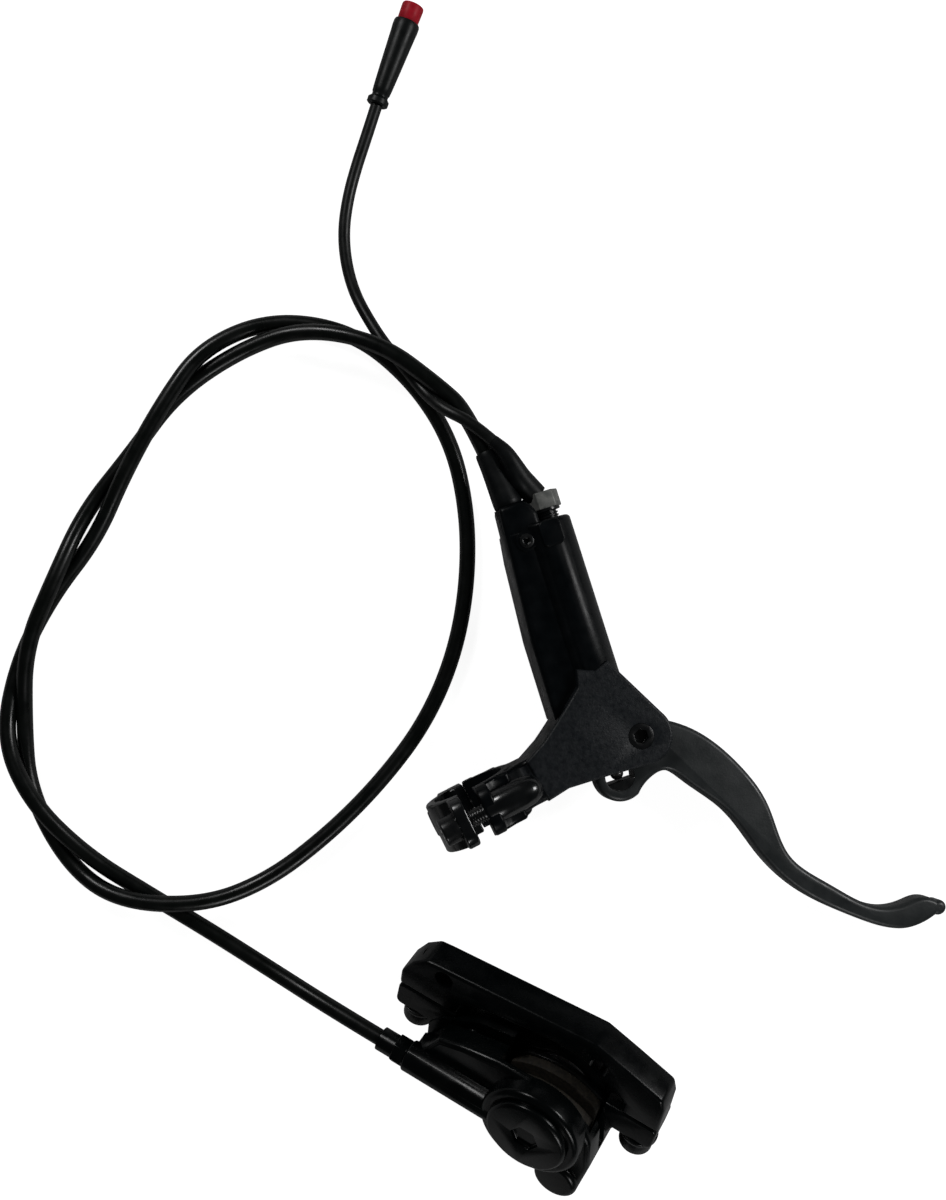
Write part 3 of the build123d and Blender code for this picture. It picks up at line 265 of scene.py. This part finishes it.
for i, x in enumerate(PIN_PLACES):
    pin = turned("connector_pin_%d" % i, PIN_PROFILE, plug @ Matrix.Translation((0, x, 0)), PIN_STEPS)
    fit_out(pin, "brake", "brass", pin_gold)
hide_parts("connector_pins")


# The sensor's cable: black PVC, 3.7 mm thick and easily bent. It leaves the moulded sleeve,
# passes over the hose and runs to its connector.
CABLE_R = 0.00185
CABLE_ROUTE = [
    (-0.05030, 0.11071, 0.0172), (-0.05770, 0.11720, 0.0178), (-0.06630, 0.12150, 0.0158),
    (-0.07190, 0.12690, 0.0096), (-0.07770, 0.13450, 0.0076), (-0.08420, 0.14211, 0.0068),
    (-0.08940, 0.15021, 0.0043), (-0.09400, 0.15881, 0.0023), (-0.09670, 0.16831, 0.0019),
    (-0.09750, 0.17811, 0.0019), (-0.09620, 0.18791, 0.0020), (-0.09370, 0.19741, 0.0021),
    (-0.09040, 0.20681, 0.0030), (-0.08710, 0.21646, 0.0041),
]
cable_black = finish("cable_black", dark=(0.0024, 0.0032, 0.0030), light=(0.0046, 0.0056, 0.0054),
                     gloss=(0.30, 0.46), patch=320.0, grain=1200.0, depth=0.00002, shine=0.4)
cable = cord_curve("cable", CABLE_ROUTE, CABLE_R)
fit_out(cable, "brake", "black_rubber", cable_black, "sensor_cable")


# The table, pale paper that goes white where the camera sees it and keeps a soft shadow,
# and the light: three soft lamps that stand round the table, and an even sky.
FLOOR_SIZE = 6.0
FLOOR_DROP = 0.0003
PAPER_GREY = (0.55, 0.55, 0.55, 1.0)
PAPER_ROUGHNESS = 0.9
PAPER_GLOW = 0.92
WHITE = (1.0, 1.0, 1.0, 1.0)
SKY_STRENGTH = 0.03
LAMP_SIZE = 0.20
LAMP_AIM = Vector((-0.03, 0.02, 0.0))
LAMPS = [
    ("lamp_right", (0.60, 0.24, 0.44), 2.1),
    ("lamp_back", (-0.42, 0.62, 0.50), 1.7),
    ("lamp_front", (0.10, -0.62, 0.46), 1.1),
]
bpy.ops.object.select_all(action="DESELECT")
bpy.ops.mesh.primitive_plane_add(size=FLOOR_SIZE, location=(0, 0, -FLOOR_DROP))
floor = bpy.context.active_object
floor.name = "floor"
paper = bpy.data.materials.new("paper")
paper.use_nodes = True
tree = paper.node_tree
shader = tree.nodes["Principled BSDF"]
shader.inputs["Base Color"].default_value = PAPER_GREY
shader.inputs["Roughness"].default_value = PAPER_ROUGHNESS
shader.inputs["Emission Color"].default_value = WHITE
light_path = tree.nodes.new("ShaderNodeLightPath")
glow = tree.nodes.new("ShaderNodeMath")
glow.operation = "MULTIPLY"
glow.inputs[1].default_value = PAPER_GLOW
tree.links.new(light_path.outputs["Is Camera Ray"], glow.inputs[0])
tree.links.new(glow.outputs["Value"], shader.inputs["Emission Strength"])
floor.data.materials.append(paper)
sky = bpy.data.worlds.new("sky")
sky.use_nodes = True
sky.node_tree.nodes["Background"].inputs["Color"].default_value = WHITE
sky.node_tree.nodes["Background"].inputs["Strength"].default_value = SKY_STRENGTH
bpy.context.scene.world = sky
bpy.context.scene.view_settings.view_transform = "Standard"
for name, place, power in LAMPS:
    lamp = bpy.data.lights.new(name, "AREA")
    lamp.energy = power
    lamp.size = LAMP_SIZE
    stand = bpy.data.objects.new(name, lamp)
    stand.location = place
    stand.rotation_euler = (LAMP_AIM - Vector(place)).to_track_quat("-Z", "Y").to_euler()
    bpy.context.scene.collection.objects.link(stand)


# The master cylinder: one aluminium casting with the cylinder tube, the oil room beside it,
# two plates that carry the lever, and the rear half of the bar clamp. The plates have a grainy
# powder coat, the rest is smoother. The shoulder round the hose port is cast with it.
BODY_EDGE = 0.0005
PLATE_TOP = 5.95
PLATE_FAR = 24.9
PLATE_HIGH = 35.0
SHOULDER = [
    (60.5, 20.7), (69.0, 20.2), (77.0, 19.7), (77.2, 11.2), (75.4, 9.9), (73.0, 8.6), (60.5, 8.6),
]
SHOULDER_HALF = 5.7
SHOULDER_ROUND = 1.5
# The lever side is drawn in millimetres about the lever's pivot, with X along the cylinder
# towards the hose and Y towards the handlebar
record = frame["record"]
joints = {joint["name"]: joint for joint in record["behaviour"]["joints"]}
pivot = joints["lever_pivot"]
LEVER = axes(pivot["pos_m"], joints["piston_slide"]["axis"], -Vector(pivot["axis"]))
SLOT_OF = {part["node"]: part["material_slot"] for part in record["subparts"]}


def dressed(node, material, edge):
    # The rigid piece as one closed mesh with its sharp edges broken by a small radius
    source = frame["nodes"][node]
    piece = bpy.data.objects.new(node + "_piece", source.data.copy())
    bpy.context.scene.collection.objects.link(piece)
    activate(piece)
    bpy.ops.object.mode_set(mode="EDIT")
    bpy.ops.mesh.select_all(action="SELECT")
    bpy.ops.mesh.remove_doubles(threshold=0.000002)
    bpy.ops.mesh.dissolve_limited(angle_limit=math.radians(1.0))
    bpy.ops.object.mode_set(mode="OBJECT")
    soften = piece.modifiers.new("edges", "BEVEL")
    soften.width = edge
    soften.segments = 2
    soften.limit_method = "ANGLE"
    soften.angle_limit = math.radians(32.0)
    soften.use_clamp_overlap = True
    soften.miter_outer = "MITER_ARC"
    bpy.ops.object.modifier_apply(modifier="edges")
    bpy.ops.object.shade_smooth_by_angle(angle=math.radians(30.0))
    fit_out(piece, body_of(source)[0], SLOT_OF[node], material, node)
    return piece


def block_of(name, outline, low, high, rounding, place):
    # A block of a corner outline, its edges rounded: a disc of as many corners, moved to
    # the outline and then raised
    bpy.ops.object.select_all(action="DESELECT")
    bpy.ops.mesh.primitive_circle_add(vertices=len(outline), radius=1.0, fill_type="NGON")
    piece = bpy.context.active_object
    piece.name = name
    for vertex, (x, y) in zip(piece.data.vertices, outline):
        vertex.co = (x, y, low)
    bpy.ops.object.mode_set(mode="EDIT")
    bpy.ops.mesh.select_all(action="SELECT")
    bpy.ops.mesh.extrude_region_move(TRANSFORM_OT_translate={"value": (0, 0, high - low)})
    bpy.ops.mesh.select_all(action="SELECT")
    bpy.ops.mesh.normals_make_consistent(inside=False)
    bpy.ops.object.mode_set(mode="OBJECT")
    soften = piece.modifiers.new("edges", "BEVEL")
    soften.width = rounding
    soften.segments = 4
    soften.limit_method = "ANGLE"
    soften.angle_limit = math.radians(20.0)
    bpy.ops.object.modifier_apply(modifier="edges")
    piece.data.transform(place)
    bpy.ops.object.shade_smooth_by_angle(angle=math.radians(30.0))
    return piece


cast_black = finish("cast_black", dark=(0.0006, 0.0014, 0.0021), light=(0.0020, 0.0030, 0.0038),
                    gloss=(0.25, 0.38), patch=300.0, grain=700.0, depth=0.00004, shine=0.18)
plate_black = finish("plate_black", dark=(0.0036, 0.0052, 0.0074), light=(0.0105, 0.0130, 0.0155),
                     gloss=(0.36, 0.55), patch=900.0, grain=1500.0, depth=0.00014, shine=0.35)
casting = dressed("master_cylinder_body", cast_black, edge=BODY_EDGE)
casting.data.materials.append(plate_black)
to_lever = LEVER.inverted()
# The grainy coat goes on the outer faces of the two plates
for face in casting.data.polygons:
    spot = to_lever @ face.center
    if abs(spot.z) > PLATE_TOP and spot.x < PLATE_FAR and spot.y < PLATE_HIGH:
        face.material_index = 1
shoulder = block_of("port_shoulder", SHOULDER, -SHOULDER_HALF, SHOULDER_HALF, SHOULDER_ROUND, LEVER)
fit_out(shoulder, "brake", "cast_black", cast_black)


# The oil room's lid on the hidden side, its countersunk screws and diaphragm, and the bleed
# screw beside the hose port: black plastic, black steel and rubber, screwed and clamped.
def coated(node, material):
    # A solid that is right as it is, in its finish
    frame["nodes"][node].data.materials.clear()
    frame["nodes"][node].data.materials.append(material)


black_steel = finish("black_steel", dark=(0.0025, 0.0032, 0.0036), light=(0.0060, 0.0066, 0.0070),
                     gloss=(0.20, 0.34), patch=400.0, grain=900.0, depth=0.00002)
dressed("reservoir_lid", shell_black, edge=0.0004)
dressed("lever_bleed_screw", black_steel, edge=0.0002)
dressed("lid_screws", black_steel, edge=0.0001)
coated("reservoir_diaphragm", soft_rubber)


# The boot over the hose nut: soft black rubber, turned, with a bead at its foot and a rolled
# lip round the hose. The nut under it is plain steel.
BOOT_PROFILE = [
    (2.55, 17.5), (2.8, 17.8), (3.1, 17.7), (3.3, 17.2), (3.4, 16.2), (3.5, 13.0), (3.75, 9.5),
    (4.05, 6.0), (4.3, 3.0), (4.4, 1.6), (4.4, 0.4), (4.2, 0.1), (3.7, 0.1), (3.7, 7.2),
    (2.55, 8.0), (2.55, 17.5),
]
PORT_PLACE = (77.0, 15.4, 0.0)
PORT_TURN = 6.0


def turn(degrees, axis):
    # A turn about one of a frame's axes
    return Matrix.Rotation(math.radians(degrees), 4, axis)


port = LEVER @ Matrix.Translation(PORT_PLACE) @ turn(PORT_TURN, "Z") @ turn(90.0, "Y")
boot = turned("hose_boot_piece", BOOT_PROFILE, port)
fit_out(boot, "brake", "black_rubber", soft_rubber, "hose_boot")
plain_steel = finish("plain_steel", dark=(0.22, 0.215, 0.21), light=(0.34, 0.335, 0.33),
                     gloss=(0.24, 0.38), patch=500.0, grain=900.0, depth=0.00002, metallic=1.0)
dressed("compression_nut", plain_steel, edge=0.0002)


# The cut-off sensor screwed into the tube's end: a dull metal hexagon with a flat on top, and
# below it its thread with its last turns showing, coloured black as painted shade. Heights are from
# the hexagon's foot.
SENSOR_PLACE = (72.9, 5.0, 0.0)
HEX_FLATS = 9.0
HEX_LONG = 5.2
HEX_EDGE = 0.3
THREAD_R = 3.45
THREAD_FOOT = [(0.0, -13.0), (THREAD_R, -13.0), (THREAD_R, -4.6)]
THREAD_TURN = [(THREAD_R, -4.2), (2.95, -3.95), (2.95, -3.75), (THREAD_R, -3.5)]
THREAD_COLLAR = [(THREAD_R, -0.8), (4.3, -0.75), (4.3, 0.1), (0.0, 0.1)]
THREAD_TURNS = 4
THREAD_PITCH = 0.9
sensor_metal = finish("sensor_metal", dark=(0.125, 0.131, 0.125), light=(0.235, 0.239, 0.227),
                      gloss=(0.34, 0.5), patch=420.0, grain=800.0, depth=0.00003, metallic=0.2)
sensor = LEVER @ Matrix.Translation(SENSOR_PLACE) @ turn(90.0, "Y")
bpy.ops.object.select_all(action="DESELECT")
bpy.ops.mesh.primitive_cylinder_add(vertices=6, radius=HEX_FLATS / math.sqrt(3), depth=HEX_LONG)
hexagon = bpy.context.active_object
hexagon.name = "sensor_hexagon"
crown = hexagon.modifiers.new("crown", "BEVEL")
crown.width = HEX_EDGE
crown.segments = 3
bpy.ops.object.modifier_apply(modifier="crown")
hexagon.data.transform(sensor @ Matrix.Translation((0, 0, HEX_LONG / 2)))
bpy.ops.object.shade_smooth_by_angle(angle=math.radians(25.0))
fit_out(hexagon, "brake", "sensor_metal", sensor_metal, "sensor_body")
thread_profile = list(THREAD_FOOT)
for i in range(THREAD_TURNS):
    thread_profile += [(radius, height + THREAD_PITCH * i) for radius, height in THREAD_TURN]
# The thread takes the black steel colour as painted shade, standing for the shade that falls under
# the hexagon
thread = turned("sensor_thread", thread_profile + THREAD_COLLAR, sensor)
fit_out(thread, "brake", "black_steel", black_steel)


# The bar clamp's cap and its two cap screws. The cap is a cast half ring with a lug above and
# below; the lower lug reaches across to the casting, so only the upper gap is open. A long
# round boss of the casting stands behind the upper screw.
BAR_PLACE = (-5.9, 51.3, 0.0)
CLAMP_TURN = 8.6
LOW_LUG = [(-8.7, -18.3), (7.3, -18.3), (7.3, -11.0), (-8.7, -11.0)]
LOW_LUG_FROM = -5.6
LOW_LUG_TO = -0.7
LOW_LUG_ROUND = 0.6
BOLT_BOSS = [
    (0.0, -18.0), (2.0, -17.7), (3.4, -16.6), (4.2, -14.6), (4.6, -11.5), (4.65, -6.0),
    (4.65, -0.6), (4.3, -0.1), (0.0, -0.1),
]
BOLT_HIGH = 14.5
clamp = LEVER @ Matrix.Translation(BAR_PLACE) @ turn(CLAMP_TURN, "Z")
clamp_black = finish("clamp_black", dark=(0.0010, 0.0018, 0.0022), light=(0.0028, 0.0036, 0.0042),
                     gloss=(0.16, 0.26), patch=300.0, grain=600.0, depth=0.00003, shine=0.8)
dressed("clamp_cap", clamp_black, edge=0.0004)
dressed("clamp_bolts", black_steel, edge=0.0002)
low_lug = block_of("clamp_low_lug", LOW_LUG, LOW_LUG_FROM, LOW_LUG_TO, LOW_LUG_ROUND,
                   clamp @ turn(90.0, "X"))
fit_out(low_lug, "brake", "cast_black", clamp_black)
bolt = clamp @ Matrix.Translation((0, 0, BOLT_HIGH)) @ turn(-90.0, "X")
boss = turned("clamp_bolt_boss", BOLT_BOSS, bolt)
fit_out(boss, "brake", "cast_black", clamp_black)


# The lever's pivot bolt, black steel, screwed through both plates, and the two flanged
# bushes of dry bronze that are pressed into the blade.
bronze = finish("bronze", dark=(0.20, 0.13, 0.06), light=(0.30, 0.20, 0.10),
                gloss=(0.3, 0.45), patch=500.0, grain=900.0, depth=0.00001, metallic=1.0)
dressed("pivot_bolt", black_steel, edge=0.00015)
dressed("pivot_bushes", bronze, edge=0.0001)


# The lever blade: forged aluminium with a satin grey-black coat, round edges and a hooked
# tip. Past the plates it sways from its solid by about a millimetre, and less at the tip.
BLADE_SWAY = Vector((-0.85, 0.9, 0.0))
SWAY_REACH = (14, 38)
TIP_REACH = (100, 110)
TIP_LOSS = 0.7


def rise(value, low, high):
    # From 0 at the low value to 1 at the high one, without a corner
    share = min(max((value - low) / (high - low), 0.0), 1.0)
    return share * share * (3 - 2 * share)


lever_black = finish("lever_black", dark=(0.0135, 0.0165, 0.0175), light=(0.0185, 0.0220, 0.0230),
                     gloss=(0.34, 0.50), patch=240.0, grain=1300.0, depth=0.00005)
blade = dressed("lever_blade", lever_black, edge=0.0004)
for vertex in blade.data.vertices:
    spot = to_lever @ vertex.co
    reach = math.hypot(spot.x, spot.y)
    share = rise(reach, *SWAY_REACH) * (1 - TIP_LOSS * rise(reach, *TIP_REACH))
    vertex.co = LEVER @ (spot + share * BLADE_SWAY)


# The half-moon barrel in the lever's lobe, the push rod with its dust boot, the piston with
# its cups, and the washer that holds it in: bright or blackened steel and rubber, between
# the plates or inside the tube.
dressed("adjuster_barrel", black_steel, edge=0.0003)
dressed("push_rod", plain_steel, edge=0.0002)
dressed("master_piston", plain_steel, edge=0.0002)
dressed("stop_washer", plain_steel, edge=0.0001)
coated("piston_cups", soft_rubber)
coated("dust_boot", soft_rubber)


# The caliper: two cast halves bolted together from the inboard side, gloss black, with the
# post lugs on the inboard half and the hose port on the outboard one.
CALIPER_EDGE = 0.0005
gloss_black = finish("gloss_black", dark=(0.0006, 0.0014, 0.0015), light=(0.0018, 0.0026, 0.0028),
                     gloss=(0.18, 0.30), patch=220.0, grain=600.0, depth=0.00004, shine=0.25)
dressed("caliper_body_outer", gloss_black, edge=CALIPER_EDGE)
dressed("caliper_body_inner", gloss_black, edge=CALIPER_EDGE)
dressed("caliper_body_bolts", black_steel, edge=0.0003)
dressed("caliper_bleed_screw", black_steel, edge=0.0002)


# The screwed cap over the outboard bore, with its key recess, and the crimped fitting at the
# hose's end: aluminium and steel, both black.
dressed("bore_cap", gloss_black, edge=0.0003)
dressed("caliper_hose_fitting", gloss_black, edge=0.0003)


# The adapter bracket between the caliper's posts and the frame's two tabs: a milled and
# blackened bar, flat on top, with an arch below and the tab holes through it. It is drawn in
# millimetres about the caliper, and stands where the record has its tab holes.
BRACKET_OUTLINE = [
    (-43.9, 0.0), (-44.2, 5.6), (-41.2, 11.6), (-37.2, 15.4), (-33.0, 16.0), (17.5, 21.0),
    (28.3, 17.6), (40.3, 13.6), (41.7, 10.0), (42.3, 0.0), (30.4, 0.0), (30.4, 4.1), (27.4, 6.2),
    (24.0, 7.9), (19.5, 10.6), (14.0, 12.3), (7.0, 12.4), (0.0, 11.6), (-7.0, 10.4),
    (-14.0, 9.2), (-20.0, 7.4), (-23.4, 5.0), (-24.2, 0.0),
]
BRACKET_FROM = -12.5
BRACKET_TO = -2.5
BRACKET_MID = -7.5
BRACKET_ROUND = 1.1
TAB_HOLE_LEFT = (-30.4, 12.8)
TAB_HOLE_SPACING = 51.0
TAB_HOLE_R = 3.0
TAB_HOLE_DROP = 0.7
TAB_DRILL = 30.0
POST_HOLE = (37.1, 5.0)
POST_HOLE_R = 3.05
POST_DRILL = 16.0
HOLE_STEPS = 40
mounts = {mount["name"]: mount for mount in record["mounts"]}
left_tab = Vector(mounts["tab_hole_left"]["pos_m"])
right_tab = Vector(mounts["tab_hole_right"]["pos_m"])
caliper_turn = axes((0, 0, 0), right_tab - left_tab, mounts["tab_hole_left"]["axis"])
left_hole = caliper_turn @ Vector((*TAB_HOLE_LEFT, BRACKET_MID))
CALIPER = Matrix.Translation(left_tab - left_hole) @ caliper_turn
bracket_black = finish("bracket_black", dark=(0.0006, 0.0013, 0.0015), light=(0.0018, 0.0026, 0.0029),
                       gloss=(0.20, 0.32), patch=300.0, grain=900.0, depth=0.00003, shine=0.22)
bracket = block_of("adapter_bracket_piece", BRACKET_OUTLINE, BRACKET_FROM, BRACKET_TO, BRACKET_ROUND,
                   CALIPER)
holes = [
    (TAB_HOLE_LEFT[0], TAB_HOLE_LEFT[1] - TAB_HOLE_DROP, TAB_HOLE_R, 0.0, TAB_DRILL),
    (TAB_HOLE_LEFT[0] + TAB_HOLE_SPACING, TAB_HOLE_LEFT[1], TAB_HOLE_R, 0.0, TAB_DRILL),
    (-POST_HOLE[0], POST_HOLE[1], POST_HOLE_R, 90.0, POST_DRILL),
    (POST_HOLE[0], POST_HOLE[1], POST_HOLE_R, 90.0, POST_DRILL),
]
for x, y, radius, lean, depth in holes:
    bpy.ops.object.select_all(action="DESELECT")
    bpy.ops.mesh.primitive_cylinder_add(vertices=HOLE_STEPS, radius=radius, depth=depth)
    drill = bpy.context.active_object
    drill.data.transform(CALIPER @ Matrix.Translation((x, y, BRACKET_MID)) @ turn(lean, "X"))
    activate(bracket)
    cut = bracket.modifiers.new("hole", "BOOLEAN")
    cut.object = drill
    bpy.ops.object.modifier_apply(modifier="hole")
    bpy.data.objects.remove(drill)
bpy.ops.object.shade_smooth_by_angle(angle=math.radians(30.0))
fit_out(bracket, "brake", SLOT_OF["adapter_bracket"], bracket_black, "adapter_bracket")


# The two post bolts, screwed through the caliper's lugs into the bracket, with a washer
# under each head: blackened steel.
dressed("mount_bolts", black_steel, edge=0.0004)
dressed("mount_washers", black_steel, edge=0.0002)


# The brake pads: sintered lining on a steel back plate that stands up over it, one pad on
# each piston, and the pistons with their square seals.
PAD_RISE = 0.8
PAD_RISE_FROM = (-6, -2)
lining_brown = finish("lining_brown", dark=(0.008, 0.0062, 0.004), light=(0.028, 0.022, 0.014),
                      gloss=(0.65, 0.85), patch=900.0, grain=1500.0, depth=0.00008)
piston_metal = finish("piston_metal", dark=(0.30, 0.30, 0.30), light=(0.42, 0.42, 0.42),
                      gloss=(0.26, 0.4), patch=500.0, grain=900.0, depth=0.00002, metallic=1.0)
to_caliper = CALIPER.inverted()
for name in ("outer_pad_lining", "inner_pad_lining"):
    dressed(name, lining_brown, edge=0.0003)
for name in ("outer_pad_plate", "inner_pad_plate"):
    plate = dressed(name, black_steel, edge=0.0002)
    for vertex in plate.data.vertices:
        spot = to_caliper @ vertex.co
        spot.y += PAD_RISE * rise(spot.y, *PAD_RISE_FROM)
        vertex.co = CALIPER @ spot
for name in ("outer_piston", "inner_piston"):
    dressed(name, piston_metal, edge=0.0003)
coated("caliper_seals", soft_rubber)
